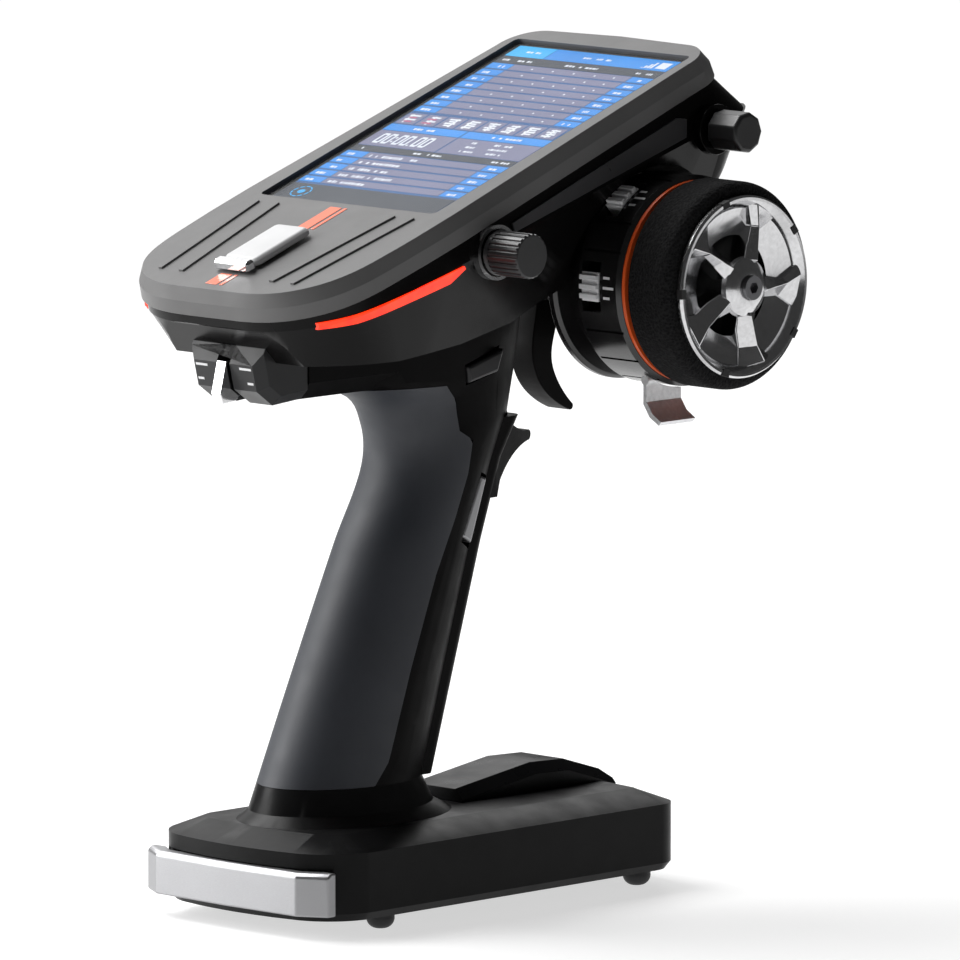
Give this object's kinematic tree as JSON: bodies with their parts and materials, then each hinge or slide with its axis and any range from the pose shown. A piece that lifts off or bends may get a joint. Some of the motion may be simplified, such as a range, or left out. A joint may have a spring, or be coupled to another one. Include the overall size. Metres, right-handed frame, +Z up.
{
  "type": "radio transmitter controller",
  "caption": "Pistol-grip radio control transmitter with a steering wheel, finger trigger, raked touchscreen head, side dials and a footed battery base.",
  "frame": {"origin": "on the table that the feet stand on, under the middle of the whole object's box; the plane that halves the head, grip and base is at X = -0.0144", "axes": "+Z up; +Y forwards, away from the user and towards the head's raised end; +X to the steering wheel's side"},
  "size_m": [0.1056, 0.158, 0.2105],
  "materials": {
    "cover_satin": "satin textured",
    "body_gloss": "gloss",
    "grip_soft": "soft touch",
    "base_satin": "satin",
    "silver": "brushed",
    "chrome_trim": "polished",
    "foam": "open-cell foam",
    "light_red": "lit from inside, emissive",
    "orange_trim": "gloss",
    "glass_clear": "clear",
    "mask_black": "matt",
    "display": "lit display, emissive",
    "board_green": "solder resist",
    "metal_dark": "machined",
    "rubber_black": "matt",
    "knob_dark": "satin",
    "trim_white": "gloss",
    "wrap_blue": "shrink film",
    "switch_grey": "satin"
  },
  "bodies": {
    "housing": {"base_upper_shell": "base_satin", "base_lower_tray": "base_satin", "base_spine": "body_gloss", "base_feet": "rubber_black", "base_screws": "metal_dark", "battery_pack": "wrap_blue", "battery_socket": "mask_black", "grip_core": "base_satin", "grip_cover": "grip_soft", "wire_harness": "rubber_black", "head_lower_body": "body_gloss", "head_top_cover": "cover_satin", "deck_stripes": "orange_trim", "screen_glass": "glass_clear", "screen_mask": "mask_black", "lcd_panel": "display", "main_board": "board_green", "display_standoffs": "metal_dark", "antenna_bar": "board_green", "speaker": "metal_dark", "vibration_motor": "metal_dark", "head_screws": "metal_dark", "light_bar_right": "light_red", "light_bar_left": "light_red", "side_panel": "knob_dark", "vr_ring": "chrome_trim", "vr_potentiometer": "metal_dark", "front_knob_collar": "body_gloss", "usb_socket": "metal_dark", "rear_switch_housing": "switch_grey", "rear_lever_pin": "metal_dark", "drum_housing": "body_gloss", "drum_flange": "body_gloss", "accent_ring": "orange_trim", "wheel_bearings": "metal_dark", "wheel_sensor": "metal_dark", "drum_bracket": "body_gloss", "return_spring": "metal_dark", "trigger_pin": "metal_dark"},
    "wheel": {"foam_tyre": "foam", "wheel_rim": "chrome_trim", "wheel_dish": "mask_black", "wheel_shaft": "metal_dark", "hub_screw": "metal_dark"},
    "trigger": {"trigger": "body_gloss"},
    "vr_dial": {"vr_knob": "knob_dark"},
    "front_push": {"front_encoder": "metal_dark"},
    "front_dial": {"front_knob": "knob_dark"},
    "trim_rear": {"trim_1": "trim_white"},
    "trim_top_rear": {"trim_2": "trim_white"},
    "trim_top_front": {"trim_3": "trim_white"},
    "trim_front": {"trim_4": "trim_white"},
    "power_switch": {"power_slider": "switch_grey", "power_slider_lip": "chrome_trim"},
    "rear_toggle": {"rear_lever": "chrome_trim"},
    "neck_push": {"neck_button": "silver"},
    "grip_push": {"grip_button": "silver"},
    "base_push": {"base_rear_button": "silver"},
    "wheel_paddle": {"wheel_clip": "chrome_trim"},
    "battery_cover": {"battery_door": "base_satin"}
  },
  "joints": [
    {"name": "wheel_steer", "type": "hinge", "parent": "housing", "child": "wheel", "pos_m": [-0.0144, 0.0454, 0.1544], "axis": [1, 0, 0], "range_deg": [-35, 35], "stiffness_Nm_per_rad": 0.06},
    {"name": "trigger_pull", "type": "hinge", "parent": "housing", "child": "trigger", "pos_m": [-0.0144, 0.0375, 0.15], "axis": [1, 0, 0], "range_deg": [-18, 12], "stiffness_Nm_per_rad": 0.08},
    {"name": "vr_turn", "type": "hinge", "parent": "housing", "child": "vr_dial", "pos_m": [-0.0144, -0.0166, 0.1662], "axis": [1, 0, 0], "range_deg": [-140, 140]},
    {"name": "front_press", "type": "slide", "parent": "housing", "child": "front_push", "axis": [-1, 0, 0], "range_m": [0, 0.0008], "stiffness_N_per_m": 900},
    {"name": "front_turn", "type": "hinge", "parent": "front_push", "child": "front_dial", "pos_m": [-0.0144, 0.0623, 0.1903], "axis": [1, 0, 0], "continuous": true},
    {"name": "trim_rear_tilt", "type": "hinge", "parent": "housing", "child": "trim_rear", "pos_m": [-0.0144, 0.0454, 0.1544], "axis": [1, 0, 0], "range_deg": [-3.5, 3.5], "stiffness_Nm_per_rad": 0.02},
    {"name": "trim_top_rear_tilt", "type": "hinge", "parent": "housing", "child": "trim_top_rear", "pos_m": [-0.0144, 0.0454, 0.1544], "axis": [1, 0, 0], "range_deg": [-3.5, 3.5], "stiffness_Nm_per_rad": 0.02},
    {"name": "trim_top_front_tilt", "type": "hinge", "parent": "housing", "child": "trim_top_front", "pos_m": [-0.0144, 0.0454, 0.1544], "axis": [1, 0, 0], "range_deg": [-3.5, 3.5], "stiffness_Nm_per_rad": 0.02},
    {"name": "trim_front_tilt", "type": "hinge", "parent": "housing", "child": "trim_front", "pos_m": [-0.0144, 0.0454, 0.1544], "axis": [1, 0, 0], "range_deg": [-3.5, 3.5], "stiffness_Nm_per_rad": 0.02},
    {"name": "power_slide", "type": "slide", "parent": "housing", "child": "power_switch", "axis": [0, 0.9438, 0.3305], "range_m": [-0.003, 0.003]},
    {"name": "rear_toggle_tilt", "type": "hinge", "parent": "housing", "child": "rear_toggle", "pos_m": [-0.0144, -0.0675, 0.1375], "axis": [1, 0, 0], "range_deg": [-10, 10]},
    {"name": "neck_press", "type": "slide", "parent": "housing", "child": "neck_push", "axis": [-1, 0, 0], "range_m": [0, 0.001], "stiffness_N_per_m": 600},
    {"name": "grip_press", "type": "slide", "parent": "housing", "child": "grip_push", "axis": [-1, 0, 0], "range_m": [0, 0.0008], "stiffness_N_per_m": 600},
    {"name": "base_press", "type": "slide", "parent": "housing", "child": "base_push", "axis": [0, 1, 0], "range_m": [0, 0.001], "stiffness_N_per_m": 1200},
    {"name": "paddle_tilt", "type": "hinge", "parent": "housing", "child": "wheel_paddle", "pos_m": [0.0286, 0.0378, 0.1304], "axis": [0, 1, 0], "range_deg": [-8, 0], "stiffness_Nm_per_rad": 0.03},
    {"name": "battery_cover_swing", "type": "hinge", "parent": "housing", "child": "battery_cover", "pos_m": [-0.0144, 0.0366, 0.0046], "axis": [1, 0, 0], "range_deg": [0, 75]}
  ]
}
